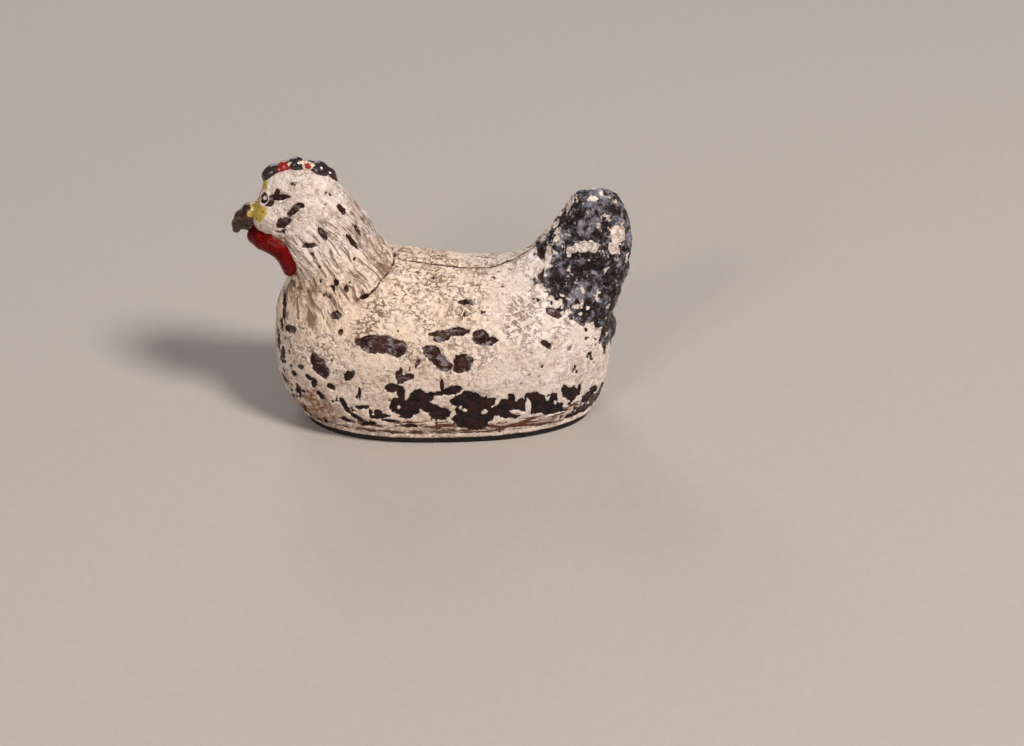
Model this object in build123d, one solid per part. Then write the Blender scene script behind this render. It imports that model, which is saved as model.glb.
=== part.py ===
"""A miniature sitting hen, 25 mm long: two hollow metal halves closed by a base plate.

Millimetres. The hen faces -Y, +Z is up, and its left side is +X. The origin is the
middle of the base plate's underside, which is what the hen stands on. The halves meet
on the plane x = 0, and the comb, beak and wattle are small castings whose tongues are
held in that seam.
"""

import os
from math import copysign, cos, pi, radians, sin, sqrt

from build123d import *

# Driving dimensions.
WALL = 0.8  # thickness of both half shells
RIM_Z = 0.5  # the shell's lower edge, above the surface that the plate stands on
PLATE_INSET = 0.15  # how far the plate's flange stays back under the shell's edge
SPIGOT_TOP_Z = 1.1  # top of the plate's spigot, inside the shell
FIT_GAP = 0.02  # assembly clearance round the spigot
TONGUE_THICKNESS = 0.4  # tongues held between the two halves
TONGUE_DEPTH = 0.6  # how far the comb's and wattle's tongues reach in
BIG = 40.0  # size of the boxes that split and trim the shapes

# Body: an egg whose cross-sections are superellipses about one level line.
BODY_FRONT_Y = -11.2
BODY_WIDEST_Y = -1.5
BODY_REAR_Y = 9.9
BODY_HALF_WIDTH = 5.5
BODY_MIDDLE_Z = 4.2
BODY_UP = 5.75  # from the middle up to the low point of the back
BODY_DOWN = 7.1  # from the middle down; the rim cuts much of it away
SADDLE_Y = 1.3  # low point of the back
SADDLE_HALF_LENGTH = 5.3  # the back stops climbing this far from its low point
NECK_RISE = 0.6
TAIL_RISE = 0.7

# Squareness is the exponent of a superellipse: 2 is an ellipse, more is boxier.
SECTION_SQUARENESS = 2.3
SLICE_SQUARENESS = 2.1
PLAN_SQUARENESS = 2.35
BACK_SQUARENESS = 3.0
BREAST_SQUARENESS = 2.0
RUMP_SQUARENESS = 2.5
SECTION_POINTS = 20
BODY_SECTIONS = 13
LAST_SECTION_ANGLE = 86.0  # degrees from the widest section; 90 would be the very tip

# Level slices of the neck and head: z, foremost y, rearmost y, half width.
HEAD_SLICES = [
    (4.8, -10.7, -2.7, 4.0),
    (6.0, -10.85, -2.75, 4.1),
    (7.2, -10.85, -2.85, 4.05),
    (8.4, -10.6, -3.0, 3.8),
    (9.6, -10.2, -3.2, 3.35),
    (10.6, -10.2, -3.65, 3.0),
    (11.6, -10.8, -4.3, 2.7),
    (12.4, -11.6, -4.8, 2.45),
    (13.2, -12.3, -5.3, 2.25),
    (14.2, -12.2, -6.0, 2.05),
    (15.2, -11.8, -6.75, 1.85),
    (16.0, -11.45, -7.3, 1.5),
    (16.5, -11.0, -7.8, 1.05),
    (16.75, -10.3, -8.5, 0.5),
]

# Level slices of the tail: z, foremost y, rearmost y, half width.
TAIL_SLICES = [
    (5.0, 3.2, 9.3, 2.3),
    (6.2, 3.2, 9.8, 2.7),
    (7.4, 3.1, 10.2, 2.8),
    (8.6, 2.9, 10.7, 2.5),
    (9.6, 2.7, 10.9, 2.2),
    (10.3, 3.2, 10.98, 2.0),
    (11.0, 4.5, 11.1, 1.8),
    (12.0, 5.5, 11.15, 1.6),
    (13.2, 6.3, 11.0, 1.35),
    (14.2, 7.3, 10.55, 1.1),
    (14.8, 8.0, 10.0, 0.85),
    (15.15, 8.6, 9.5, 0.4),
]
HOLLOW_HEAD_TOP = 15.2  # the head is solid above the slice at this height
HOLLOW_TAIL_TOP = 13.2

# Comb: three knobs on a low ridge. Each knob is y, z, radius.
COMB_KNOBS = [(-11.0, 16.45, 0.58), (-9.45, 17.0, 0.5), (-7.88, 16.65, 0.62)]
COMB_RIDGE_THICKNESS = 0.56
COMB_RIDGE_TOP = [(-11.35, 16.4), (-9.45, 17.1), (-7.5, 16.65)]
COMB_RIDGE_DEPTH = 1.2  # height of the ridge's ends, which reach down into the crown
COMB_TONGUE_Y = (-10.6, -8.2)
COMB_TONGUE_TOP = 17.0  # above the crown, which trims the tongue

# Beak sections from root to tip: y, z, half height, half width, downward lean in degrees.
BEAK_STATIONS = [
    (-11.7, 13.55, 0.85, 0.85, 0),
    (-12.5, 13.5, 0.8, 0.68, 10),
    (-13.1, 13.22, 0.6, 0.48, 35),
    (-13.38, 12.8, 0.36, 0.3, 60),
    (-13.4, 12.38, 0.12, 0.12, 80),
]
BEAK_TONGUE_Y = (-12.6, -11.7)
BEAK_TONGUE_Z = (13.0, 14.0)

# Wattle: two round lobes joined under the beak, each lying along one side of the throat.
WATTLE_PATH = [
    (0.7, -11.9, 12.45),
    (1.1, -11.45, 12.35),
    (1.5, -10.8, 12.2),
    (1.6, -10.2, 11.75),
    (1.5, -9.9, 11.05),
    (1.35, -9.85, 10.5),
]
WATTLE_RADIUS = 0.58
WATTLE_BRIDGE_RADIUS = 0.45
WATTLE_TONGUE_Z = (12.2, 12.7)
TUBE_RINGS = 7
CAP_RINGS = (0.5, 0.85, 0.98)  # how far out each ring of a round end lies, in radii

# Solder left standing at the rear of the seam: y, z and its half sizes.
SOLDER_YZ = (9.8, 5.5)
SOLDER_HALF_SIZES = (0.5, 0.45, 1.2)


def bulge(fraction, squareness):
    """Height of a superellipse of unit size at a fraction of its length."""
    return (1 - abs(fraction) ** squareness) ** (1 / squareness)


def superellipse(half_width, up, down, squareness):
    """Points of a closed superellipse about the origin, counter-clockwise."""
    points = []
    for i in range(SECTION_POINTS):
        angle = 2 * pi * (i + 0.5) / SECTION_POINTS
        across = copysign(abs(cos(angle)) ** (2 / squareness), cos(angle))
        along = copysign(abs(sin(angle)) ** (2 / squareness), sin(angle))
        points.append((half_width * across, (up if along > 0 else down) * along))
    return points


def loft_through(sections):
    """A closed solid through smooth closed curves, each given by its points."""
    curves = [Edge.make_spline([Vector(*p) for p in points], periodic=True) for points in sections]
    return Solid.make_loft([Wire([curve]) for curve in curves])


def saddle_rise(y):
    """How far the back stands above its low point."""
    reach = min(abs(y - SADDLE_Y) / SADDLE_HALF_LENGTH, 1)
    rise = NECK_RISE if y < SADDLE_Y else TAIL_RISE
    return rise * (1 - cos(pi * reach)) / 2


def body_shape(inset=0.0):
    """The rounded body, or the space inside it when inset by the wall."""
    last = radians(LAST_SECTION_ANGLE)
    sections = []
    for i in range(BODY_SECTIONS):
        fraction = sin(last * (2 * i / (BODY_SECTIONS - 1) - 1))
        end_y = BODY_FRONT_Y + inset if fraction < 0 else BODY_REAR_Y - inset
        y = BODY_WIDEST_Y + abs(fraction) * (end_y - BODY_WIDEST_Y)
        end_squareness = BREAST_SQUARENESS if fraction < 0 else RUMP_SQUARENESS
        half_width = (BODY_HALF_WIDTH - inset) * bulge(fraction, PLAN_SQUARENESS)
        up = (BODY_UP + saddle_rise(y) - inset) * bulge(fraction, BACK_SQUARENESS)
        down = (BODY_DOWN - inset) * bulge(fraction, end_squareness)
        outline = superellipse(half_width, up, down, SECTION_SQUARENESS)
        sections.append([(x, y, BODY_MIDDLE_Z + z) for x, z in outline])
    return loft_through(sections)


def sliced_shape(slices, inset=0.0, top=BIG):
    """A neck or tail built from level slices, up to the height top."""
    sections = []
    for z, front, rear, half_width in slices:
        if z <= top:
            half_length = (rear - front) / 2 - inset
            outline = superellipse(half_width - inset, half_length, half_length, SLICE_SQUARENESS)
            sections.append([(x, (front + rear) / 2 + y, z) for x, y in outline])
    return loft_through(sections)


def slab(low, high):
    """Everything between two heights."""
    return Pos(0, 0, (low + high) / 2) * Box(BIG, BIG, high - low)


def left_of_seam():
    """Everything on the hen's left."""
    return Pos(BIG / 2, 0, 0) * Box(BIG, BIG * 2, BIG * 2)


def make_outside():
    """The hen's outer volume above the rim, as one solid."""
    whole = body_shape() + sliced_shape(HEAD_SLICES) + sliced_shape(TAIL_SLICES)
    return whole & slab(RIM_Z, BIG)


def make_hollow():
    """The space inside the shell, open at the bottom."""
    head = sliced_shape(HEAD_SLICES, WALL, HOLLOW_HEAD_TOP)
    tail = sliced_shape(TAIL_SLICES, WALL, HOLLOW_TAIL_TOP)
    return body_shape(WALL) + head + tail


def plate_in_seam(face, thickness):
    """A flat plate with its middle on the seam plane."""
    return extrude(face, amount=thickness / 2, dir=(1, 0, 0), both=True)


def tongue_in_seam(y_range, z_range):
    """The rectangular tongue that holds a casting between the halves."""
    (front, rear), (low, high) = y_range, z_range
    corners = [Vector(0, front, low), Vector(0, rear, low), Vector(0, rear, high), Vector(0, front, high)]
    return plate_in_seam(Face(Wire.make_polygon(corners, close=True)), TONGUE_THICKNESS)


def make_comb(outside):
    """Ridge and knobs above the crown, and the tongue below them."""
    front, top, rear = (Vector(0, y, z) for y, z in COMB_RIDGE_TOP)
    down = Vector(0, 0, -COMB_RIDGE_DEPTH)
    corners = [rear, rear + down, front + down, front]
    sides = [Edge.make_line(a, b) for a, b in zip(corners, corners[1:])]
    face = Face(Wire([Edge.make_three_point_arc(front, top, rear), *sides]))
    comb = plate_in_seam(face, COMB_RIDGE_THICKNESS)
    for y, z, radius in COMB_KNOBS:
        comb = comb + Pos(0, y, z) * Sphere(radius)
    above = comb - outside
    tongue_low = COMB_RIDGE_TOP[0][1] - TONGUE_DEPTH
    tongue = tongue_in_seam(COMB_TONGUE_Y, (tongue_low, COMB_TONGUE_TOP))
    return above + (tongue & outside), tongue


def make_beak(outside):
    """The hooked beak, and the tongue behind it."""
    rings = []
    for y, z, half_height, half_width, lean in BEAK_STATIONS:
        forward = (0, -cos(radians(lean)), -sin(radians(lean)))
        plane = Plane(origin=(0, y, z), x_dir=(1, 0, 0), z_dir=forward)
        rings.append((plane * Ellipse(half_width, half_height)).wire())
    horn = Solid.make_loft(rings)
    tongue = tongue_in_seam(BEAK_TONGUE_Y, BEAK_TONGUE_Z)
    return (horn - outside) + (tongue & outside), tongue


def circle_across(centre, direction, radius):
    """A circle about a path that runs in a direction."""
    sideways = Vector(0, 1, 0).cross(direction)
    return Wire([Edge.make_circle(radius, Plane(origin=centre, x_dir=sideways, z_dir=direction))])


def rounded_tube(path, radius):
    """A solid round bar along a path, with round ends."""
    caps = [(out * radius, radius * sqrt(1 - out**2)) for out in CAP_RINGS]
    start, first = path @ 0, path % 0
    end, last = path @ 1, path % 1
    rings = [circle_across(start - first * out, first, r) for out, r in reversed(caps)]
    for i in range(TUBE_RINGS):
        along = i / (TUBE_RINGS - 1)
        rings.append(circle_across(path @ along, path % along, radius))
    rings += [circle_across(end + last * out, last, r) for out, r in caps]
    return Solid.make_loft(rings)


def make_wattle(outside, beak):
    """The two joined lobes, and the tongue behind the bridge between them."""
    lobe = rounded_tube(Edge.make_spline([Vector(*point) for point in WATTLE_PATH]), WATTLE_RADIUS)
    x, y, z = WATTLE_PATH[0]
    bridge = Pos(0, y, z) * Rot(0, 90, 0) * Cylinder(WATTLE_BRIDGE_RADIUS, 2 * x)
    half = ((lobe + bridge) & left_of_seam()) - outside - beak
    tongue = tongue_in_seam((y, y + WATTLE_RADIUS + TONGUE_DEPTH), WATTLE_TONGUE_Z)
    return half + mirror(half, about=Plane.YZ) + (tongue & outside), tongue


def make_solder(outside):
    """The lump of solder at the rear of the seam."""
    lump = scale(Sphere(1), by=SOLDER_HALF_SIZES)
    return Pos(0, *SOLDER_YZ) * lump - outside


def make_base_plate():
    """A stepped plate: a flange under the rim and a spigot inside the shell."""
    outline = section(body_shape(PLATE_INSET), section_by=Plane.XY.offset(RIM_Z))
    flange = extrude(outline, amount=RIM_Z, dir=(0, 0, -1))
    spigot = body_shape(WALL + FIT_GAP) & slab(RIM_Z, SPIGOT_TOP_Z)
    return flange + spigot


def one_solid(shape, name):
    """The shape's only solid; a shape in two pieces or a broken one is refused."""
    solids = shape.solids()
    if len(solids) != 1 or not solids[0].is_valid:
        raise ValueError(f"{name} is not one sound solid: {[s.volume for s in solids]}")
    return solids[0]


def main():
    os.makedirs("parts", exist_ok=True)
    outside = make_outside()
    hollow = make_hollow()
    comb, comb_tongue = make_comb(outside)
    beak, beak_tongue = make_beak(outside)
    wattle, wattle_tongue = make_wattle(outside, beak)
    left_half = (outside & left_of_seam()) - hollow - comb_tongue - beak_tongue - wattle_tongue
    left_half = one_solid(left_half, "left_half")
    nodes = {
        "left_half": left_half,
        "right_half": mirror(left_half, about=Plane.YZ),
        "base_plate": make_base_plate(),
        "comb": comb,
        "beak": beak,
        "wattle": wattle,
        "seam_solder": make_solder(outside),
    }
    for name, shape in nodes.items():
        export_step(one_solid(shape, name), f"parts/{name}.step")


main()
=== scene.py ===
"""Looks of the miniature metal hen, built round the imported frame.

Shapes are in millimetres in the frame's own axes (the hen faces -Y, +Z is up, its left is +X) and
turned into metres when a mesh is made. Both halves are cut from one smooth form, then given
feathers, paint edges, chips and a seam. Paint colours and fine cracks are node materials.
"""

from functools import partialmethod
from math import atan2, cos, pi, radians, sin

import bpy
import numpy as np
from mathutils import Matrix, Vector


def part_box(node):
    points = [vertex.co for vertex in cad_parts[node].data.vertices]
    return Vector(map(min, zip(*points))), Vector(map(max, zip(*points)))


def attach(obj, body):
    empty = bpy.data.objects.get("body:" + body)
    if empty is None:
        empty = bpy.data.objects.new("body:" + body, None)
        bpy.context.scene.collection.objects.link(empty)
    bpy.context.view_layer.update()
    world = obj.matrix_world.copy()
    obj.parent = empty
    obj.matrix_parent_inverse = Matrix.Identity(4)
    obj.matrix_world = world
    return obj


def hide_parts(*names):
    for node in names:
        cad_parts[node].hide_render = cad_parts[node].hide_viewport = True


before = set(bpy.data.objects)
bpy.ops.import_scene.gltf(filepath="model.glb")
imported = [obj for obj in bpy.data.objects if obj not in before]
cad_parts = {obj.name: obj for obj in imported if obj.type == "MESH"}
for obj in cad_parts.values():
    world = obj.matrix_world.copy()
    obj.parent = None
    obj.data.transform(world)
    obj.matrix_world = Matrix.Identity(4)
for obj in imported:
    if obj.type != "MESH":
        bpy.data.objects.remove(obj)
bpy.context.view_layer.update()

MM = 0.001
RIM_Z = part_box("left_half")[0].z / MM  # lower edge of the shell
WALL = 0.8  # thickness of the shell
SKIN_STEP, LINING_STEP = 0.076, 0.3  # spacing of the points outside, and on the hidden inside
HARD_STEP, SOFT_STEP = 0.05, 0.055  # the same on comb and beak, and on wattle and solder
SHELL_LOW, SHELL_HIGH = (0, -12.9, RIM_Z), (5.9, 11.7, 17.3)  # a box round the left half

# The body: an egg with one level middle line. Each length is from its widest place.
BODY_Y, BODY_Z = -1.5, 4.2
BODY_FRONT, BODY_REAR = 9.7, 11.4
BODY_HALF_WIDTH = 5.5
BODY_UP, BODY_DOWN = 5.75, 7.1
SADDLE_Y, SADDLE_HALF_LENGTH = 1.3, 5.3
NECK_RISE, TAIL_RISE = 0.6, 0.7
BODY_POWER, BACK_POWER, BREAST_POWER, RUMP_POWER = 2.35, 3.0, 2.0, 2.5
CHEEK, CHEEK_RADII = (0.95, -10.7, 13.9), (0.95, 1.0, 0.8)
# How widely the forms melt together. At the throat the second is added to the first.
NECK_BLEND, THROAT_BLEND, TAIL_BLEND, CHEEK_BLEND = 0.3, 0.5, 0.7, 0.6

# Level slices: z, foremost y, rearmost y, half width. A dome closes the form above the last.
# The lowest two keep the foot of the neck and of the tail inside the body.
NECK_SLICES = [
    (2, -9, -3.6, 2.4),
    (3.6, -10.1, -3, 3.3),
    (4.8, -10.5, -2.7, 3.8),
    (6, -10.65, -2.75, 3.9),
    (7.2, -10.7, -2.85, 3.85),
    (8.4, -10.5, -3, 3.65),
    (9.6, -10.15, -3.2, 3.3),
    (10.6, -10.2, -3.65, 3),
    (11.6, -10.8, -4.3, 2.7),
    (12.4, -11.6, -4.8, 2.45),
    (13.2, -12.15, -5.15, 2.25),
    (14, -12.05, -5.75, 2.12),
    (14.8, -11.75, -6.3, 1.98),
    (15.6, -11.5, -6.95, 1.8),
]
NECK_DOME = 1.25
TAIL_SLICES = [
    (2, 4.5, 7.4, 1.2),
    (3.6, 3.8, 8.6, 1.8),
    (5, 3.4, 9.2, 2.2),
    (6.2, 3.4, 9.7, 2.55),
    (7.4, 3.3, 10.1, 2.65),
    (8.6, 3.1, 10.6, 2.4),
    (9.6, 2.9, 10.85, 2.15),
    (10.3, 3.3, 10.95, 1.95),
    (11, 4.5, 11, 1.75),
    (12, 5.5, 11.05, 1.6),
    (13.2, 6.35, 10.9, 1.35),
    (14, 7, 10.6, 1.2),
]
TAIL_DOME = 1.15
SLICE_POWER = 2.1
SLICE_SHARE = 0.85  # brings a sliced form's field nearer to a true distance
LEAST_SIZE = 1e-3  # keeps a division by a relative size finite
NEAR_ZERO = 1e-6


# ---- small maths

# Large odd numbers that scramble a lattice cell and a seed into a random value.
HASH_AXES, HASH_SEED, HASH_MIX = (374761393, 668265263, 2147483647), 1442695041, 1274126177
LOW_32_BITS, LOW_16_BITS = 0xFFFFFFFF, 0xFFFF
OCTAVE_SHIFT = 17.3  # keeps the octaves of a noise apart


def ramp(low, high, value):
    """A smooth step from 0 to 1, or from 1 to 0 where high is the lower number."""
    t = np.clip((value - low) / (high - low), 0, 1)
    return t * t * (3 - 2 * t)


def hump(offset, width):
    """1 where the offset is 0, falling away smoothly on both sides."""
    return np.exp(-(offset / width) ** 2)


def smooth_min(a, b, width):
    """The lesser of two fields, rounded where they cross."""
    h = np.clip(0.5 + 0.5 * (b - a) / width, 0, 1)
    return b * (1 - h) + a * h - width * h * (1 - h)


def natural_spline(knots, values):
    """A smooth curve through points, level with its ends beyond them."""
    x, y = np.array(knots, float), np.array(values, float)
    n, h = len(x), np.diff(x)
    system = np.eye(n)
    for i in range(1, n - 1):
        system[i, i - 1:i + 2] = h[i - 1], 2 * (h[i - 1] + h[i]), h[i]
    bend = np.linalg.solve(system, np.pad(6 * np.diff(np.diff(y) / h), 1))

    def curve(at):
        at = np.clip(at, x[0], x[-1])
        i = np.clip(np.searchsorted(x, at) - 1, 0, n - 2)
        a, b = (x[i + 1] - at) / h[i], (at - x[i]) / h[i]
        bow = ((a**3 - a) * bend[i] + (b**3 - b) * bend[i + 1]) * h[i] ** 2 / 6
        return a * y[i] + b * y[i + 1] + bow

    return curve


def lattice_noise(points, seed):
    """Smooth random values from -1 to 1, one lattice cell to the unit."""
    cell = np.floor(points)
    f = points - cell
    f = f * f * f * (f * (f * 6 - 15) + 10)
    cell = cell.astype(np.int64)
    total = np.zeros(len(points))
    for corner in range(8):
        step = np.array([corner & 1, corner >> 1 & 1, corner >> 2 & 1])
        h = sum((cell + step)[:, i] * HASH_AXES[i] for i in range(3)) + seed * HASH_SEED
        h = (h ^ (h >> 13)) * HASH_MIX & LOW_32_BITS
        value = ((h ^ (h >> 16)) & LOW_16_BITS) / (LOW_16_BITS / 2) - 1
        weight = np.prod(np.where(step, f, 1 - f), axis=1)
        total += weight * value
    return total


def fractal(points, size, seed, octaves=3):
    """Noise with detail at several sizes, the largest about size millimetres."""
    total, weight = np.zeros(len(points)), 0
    for i in range(octaves):
        share = 0.5**i
        total += share * lattice_noise(points * 2**i / size + OCTAVE_SHIFT * i, seed + i)
        weight += share
    return total / weight


# ---- the smooth form

def bulge(fraction, power):
    """A round-ended form's height, at a fraction of the way from its middle to its end."""
    return (1 - np.clip(abs(fraction), 0, 0.96) ** power) ** (1 / power)


def body_field(x, y, z):
    """About the distance to the egg, below zero inside."""
    along = y - BODY_Y
    s = along / np.where(along < 0, BODY_FRONT, BODY_REAR)
    reach = np.minimum(abs(y - SADDLE_Y) / SADDLE_HALF_LENGTH, 1)
    rise = np.where(y < SADDLE_Y, NECK_RISE, TAIL_RISE) * (1 - np.cos(pi * reach)) / 2
    plain = bulge(s, BODY_POWER)
    up = (BODY_UP + rise) * bulge(s, BACK_POWER) / plain
    down = BODY_DOWN * np.where(s < 0, bulge(s, BREAST_POWER), bulge(s, RUMP_POWER)) / plain
    height = z - BODY_Z
    n = BODY_POWER
    total = abs(x / BODY_HALF_WIDTH) ** n + abs(height / np.where(height > 0, up, down)) ** n
    size = np.maximum((total + abs(s) ** n) ** (1 / n), LEAST_SIZE)
    return np.sqrt(x * x + along * along + height * height) * (1 - 1 / size)


def sliced_field(slices, dome):
    """A field for a form given by level slices and closed by a dome."""
    heights = [s[0] for s in slices]
    middle = natural_spline(heights, [(s[1] + s[2]) / 2 for s in slices])
    half_length = natural_spline(heights, [(s[2] - s[1]) / 2 for s in slices])
    half_width = natural_spline(heights, [s[3] for s in slices])
    top = heights[-1]

    def field(x, y, z):
        off = y - middle(z)
        above = np.maximum(z - top, 0)
        n = SLICE_POWER
        total = abs(x / half_width(z)) ** n + abs(off / half_length(z)) ** n
        size = np.maximum((total + (above / dome) ** n) ** (1 / n), LEAST_SIZE)
        return SLICE_SHARE * np.sqrt(x * x + off * off + above * above) * (1 - 1 / size)

    return field


neck_field = sliced_field(NECK_SLICES, NECK_DOME)
tail_field = sliced_field(TAIL_SLICES, TAIL_DOME)


def ball(x, y, z, centre, radii):
    """A field for an ellipsoid, mirrored in the plane x = 0."""
    a = (abs(x) - centre[0]) / radii[0]
    b, c = (y - centre[1]) / radii[1], (z - centre[2]) / radii[2]
    return (np.sqrt(a * a + b * b + c * c) - 1) * min(radii)


def hen_field(x, y, z):
    """The whole hen without comb, beak and wattle."""
    blend = NECK_BLEND + THROAT_BLEND * ramp(-5.0, -9.0, y)
    d = smooth_min(body_field(x, y, z), neck_field(x, y, z), blend)
    d = smooth_min(d, tail_field(x, y, z), TAIL_BLEND)
    return smooth_min(d, ball(x, y, z, CHEEK, CHEEK_RADII), CHEEK_BLEND)


def lining_field(x, y, z):
    """The inside of the shell, one wall in from the outside."""
    return hen_field(x, y, z) + WALL


def field_slopes(field, p, eps=0.02):
    """The field's slope at each point."""
    slope = np.empty_like(p)
    for axis in range(3):
        step = np.zeros(3)
        step[axis] = eps
        slope[:, axis] = (field(*(p + step).T) - field(*(p - step).T)) / (2 * eps)
    return slope


def unit(vectors):
    return vectors / np.maximum(np.linalg.norm(vectors, axis=1), NEAR_ZERO)[:, None]


# ---- meshes from fields

RELAX_ROUNDS, RELAX_SHARE = 3, 0.6
LEAST_SLOPE, LARGEST_PUSH = 0.05, 0.15  # limits on the way back to the surface


def surface_net(field, low, high, step):
    """Points and quads of the field's zero surface inside a box, and each point's grid cell."""
    axes = [low[i] + step * np.arange(int(round((high[i] - low[i]) / step)) + 1) for i in range(3)]
    x, y, z = axes[0][:, None, None], axes[1][None, :, None], axes[2][None, None, :]
    value = np.broadcast_to(field(x, y, z), [len(a) for a in axes]).astype(np.float32)
    inside = value < 0
    size = np.array(value.shape) - 1
    corners = np.array([(a, b, c) for a in (0, 1) for b in (0, 1) for c in (0, 1)])
    count = sum(
        inside[a:a + size[0], b:b + size[1], c:c + size[2]].astype(np.int8) for a, b, c in corners)
    cells = np.argwhere((count > 0) & (count < len(corners)))
    number = np.full(size, -1, np.int64)
    number[tuple(cells.T)] = np.arange(len(cells))

    # Each cell's point is the mean of the places where the surface cuts the cell's edges.
    total, hits = np.zeros((len(cells), 3)), np.zeros(len(cells))
    for a in corners:
        for b in corners[(corners >= a).all(1) & (corners.sum(1) == a.sum() + 1)]:
            va, vb = (value[tuple((cells + c).T)].astype(float) for c in (a, b))
            cut = (va < 0) != (vb < 0)
            t = va / np.where(cut, va - vb, 1)
            total += cut[:, None] * (a + t[:, None] * (b - a))
            hits += cut
    points = np.array(low) + step * (cells + total / hits[:, None])

    # Each grid edge that the surface cuts gives a quad between the four cells round it.
    quads = []
    for axis in range(3):
        order = axis, (axis + 1) % 3, (axis + 2) % 3
        grid, cell = inside.transpose(order), number.transpose(order)
        near, far = grid[:-1, 1:-1, 1:-1], grid[1:, 1:-1, 1:-1]
        i, j, k = np.nonzero(near != far)
        ring = [cell[i, j + dj, k + dk] for dj, dk in ((0, 0), (1, 0), (1, 1), (0, 1))]
        quad = np.stack(ring, axis=1)
        out = near[i, j, k]
        quad[~out] = quad[~out][:, ::-1]
        quads.append(quad)
    return points, np.concatenate(quads), cells


def edge_pairs(quads):
    """The four edges of each quad, as pairs of point numbers in the quad's direction."""
    return np.concatenate([quads[:, [i, (i + 1) % 4]] for i in range(4)])


def relax(points, quads, field, on_seam, on_rim):
    """Evens out the points on the surface. Those on the open edge stay in its plane."""
    pairs = edge_pairs(quads)
    edge = on_seam | on_rim
    for _ in range(RELAX_ROUNDS):
        total, count = np.zeros_like(points), np.zeros(len(points))
        for i in (0, 1):
            np.add.at(total, pairs[:, i], points[pairs[:, 1 - i]])
            np.add.at(count, pairs[:, i], 1)
        moved = total / count[:, None]
        moved[edge] = points[edge]
        points = points + RELAX_SHARE * (moved - points)
        for _ in range(2):
            slope = field_slopes(field, points)
            slope[on_seam, 0] = 0
            slope[on_rim, 2] = 0
            push = field(*points.T) / np.maximum((slope * slope).sum(1), LEAST_SLOPE)
            points = points - np.clip(push, -LARGEST_PUSH, LARGEST_PUSH)[:, None] * slope
    return points


def half_surface(field, step):
    """One half's surface, with edges exactly on the seam plane and the rim."""
    points, quads, cells = surface_net(field, SHELL_LOW, SHELL_HIGH, step)
    on_seam, on_rim = cells[:, 0] == 0, cells[:, 2] == 0
    points[on_seam, 0] = 0
    points[on_rim, 2] = RIM_Z
    return relax(points, quads, field, on_seam, on_rim), quads


def boundary_loop(quads):
    """The open edge of a surface as point numbers in order."""
    pairs = list(map(tuple, edge_pairs(quads)))
    every = set(pairs)
    follow = {a: b for a, b in pairs if (b, a) not in every}
    start = next(iter(follow))
    loop, at = [start], follow[start]
    while at != start and len(loop) <= len(follow):
        loop.append(at)
        at = follow[at]
    return loop


def in_scene(name, data):
    thing = bpy.data.objects.new(name, data)
    bpy.context.scene.collection.objects.link(thing)
    return thing


def make_object(name, points, faces, material, attributes):
    """A mesh from points in millimetres, with each point's values for the material."""
    mesh = bpy.data.meshes.new(name)
    mesh.from_pydata((points * MM).tolist(), [], [list(map(int, f)) for f in faces])
    for key, values in attributes.items():
        layer = mesh.attributes.new(key, "FLOAT", "POINT")
        layer.data.foreach_set("value", np.asarray(values, np.float32))
    mesh.materials.append(material)
    mesh.polygons.foreach_set("use_smooth", [True] * len(faces))
    mesh.update()
    return in_scene(name, mesh)


# ---- wear, drawn on the flank

# A patch is an ellipse on a plane that faces a viewer who looks down on the flank by this much.
LOOK_DOWN = radians(31)
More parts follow.
